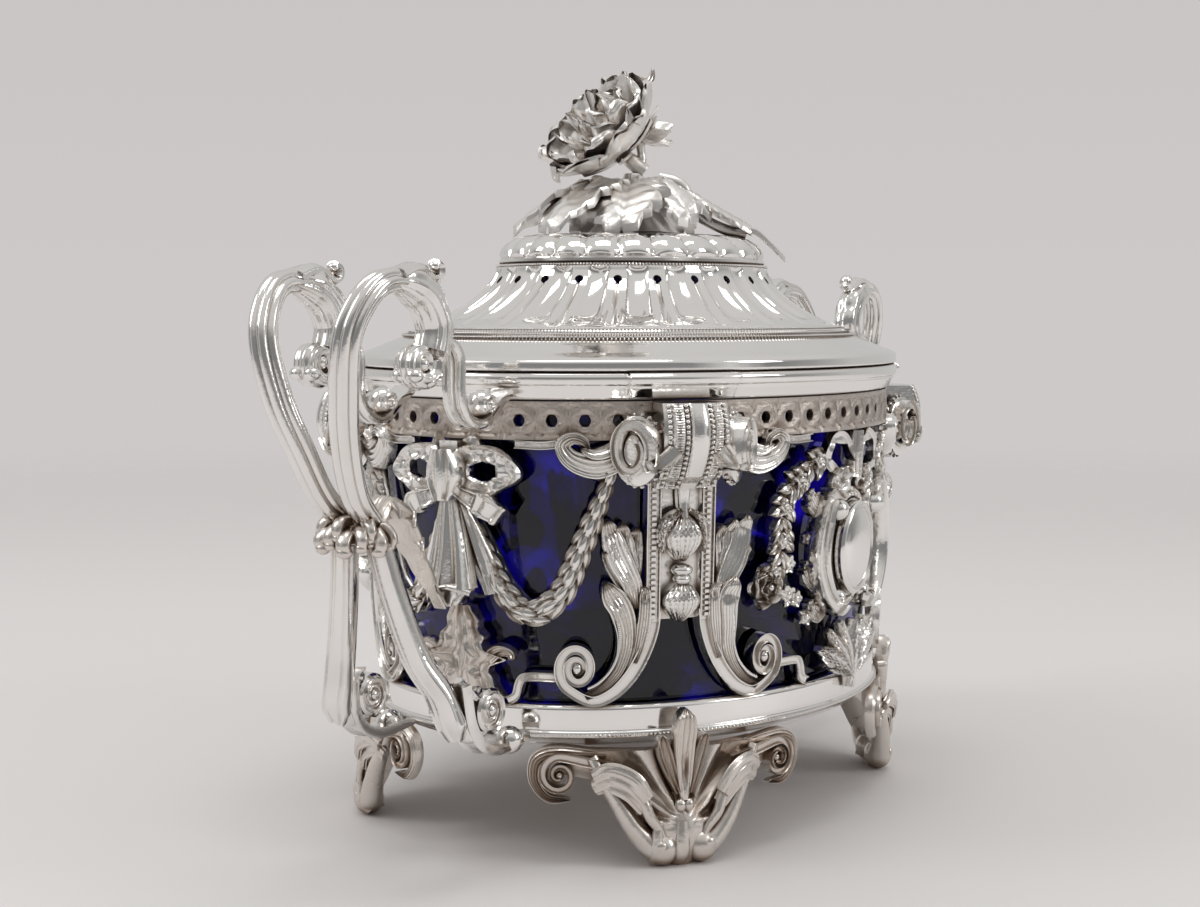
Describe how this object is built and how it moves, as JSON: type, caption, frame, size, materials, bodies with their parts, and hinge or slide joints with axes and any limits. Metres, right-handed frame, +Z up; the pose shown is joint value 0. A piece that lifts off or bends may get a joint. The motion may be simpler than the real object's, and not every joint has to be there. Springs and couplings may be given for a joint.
{
  "type": "covered sugar bowl",
  "caption": "Oval openwork sugar bowl on scroll feet, with a glass liner, scrolled side handles and a fluted domed lid with a rose finial.",
  "frame": {"origin": "Middle of the oval on the plane that the four feet stand on.", "axes": "+Z up, +X along the long axis of the oval towards one handle, +Y across it; the long side at -Y is the one seen more nearly from the front in the picture."},
  "size_m": [0.2474, 0.1216, 0.1751],
  "materials": {
    "silver": "polished",
    "worn_silver": "satin, darker in the recesses",
    "blue_glass": "smooth"
  },
  "bodies": {
    "bowl": {"base_rim": "silver", "floor_plate": "worn_silver", "frieze_band": "worn_silver", "rim_mount": "silver", "pilaster_back_right": "worn_silver", "scroll_leg_back_right_end": "worn_silver", "scroll_leg_back_right_side": "worn_silver", "foot_back_right": "silver", "pilaster_back_left": "worn_silver", "scroll_leg_back_left_end": "worn_silver", "scroll_leg_back_left_side": "worn_silver", "foot_back_left": "silver", "pilaster_front_left": "worn_silver", "scroll_leg_front_left_end": "worn_silver", "scroll_leg_front_left_side": "worn_silver", "foot_front_left": "silver", "pilaster_front_right": "worn_silver", "scroll_leg_front_right_end": "worn_silver", "scroll_leg_front_right_side": "worn_silver", "foot_front_right": "silver", "bow_left": "worn_silver", "swag_left_a": "worn_silver", "swag_left_b": "worn_silver", "leaf_mask_left": "worn_silver", "handle_collar_left": "silver", "handle_arm_left_front": "silver", "handle_leg_left_front": "silver", "handle_arm_left_back": "silver", "handle_leg_left_back": "silver", "bow_right": "worn_silver", "swag_right_a": "worn_silver", "swag_right_b": "worn_silver", "leaf_mask_right": "worn_silver", "handle_collar_right": "silver", "handle_arm_right_front": "silver", "handle_leg_right_front": "silver", "handle_arm_right_back": "silver", "handle_leg_right_back": "silver", "medallion_front": "silver", "cartouche_front": "worn_silver", "ribbon_front": "worn_silver", "palmette_front": "worn_silver", "garland_front_a": "worn_silver", "garland_front_b": "worn_silver", "medallion_back": "silver", "cartouche_back": "worn_silver", "ribbon_back": "worn_silver", "palmette_back": "worn_silver", "garland_back_a": "worn_silver", "garland_back_b": "worn_silver"},
    "liner": {"glass_liner": "blue_glass"},
    "lid": {"lid_shell": "silver", "lid_bezel": "worn_silver", "lid_dome": "silver", "finial_leaves": "worn_silver", "finial_nut": "worn_silver", "finial_stem": "worn_silver", "finial_rose": "silver", "finial_bud": "worn_silver"}
  },
  "joints": [
    {"name": "liner_lift", "type": "slide", "parent": "bowl", "child": "liner", "axis": [0, 0, 1], "range_m": [0, 0.095]},
    {"name": "lid_lift", "type": "slide", "parent": "liner", "child": "lid", "axis": [0, 0, 1], "range_m": [0, 0.07]}
  ]
}
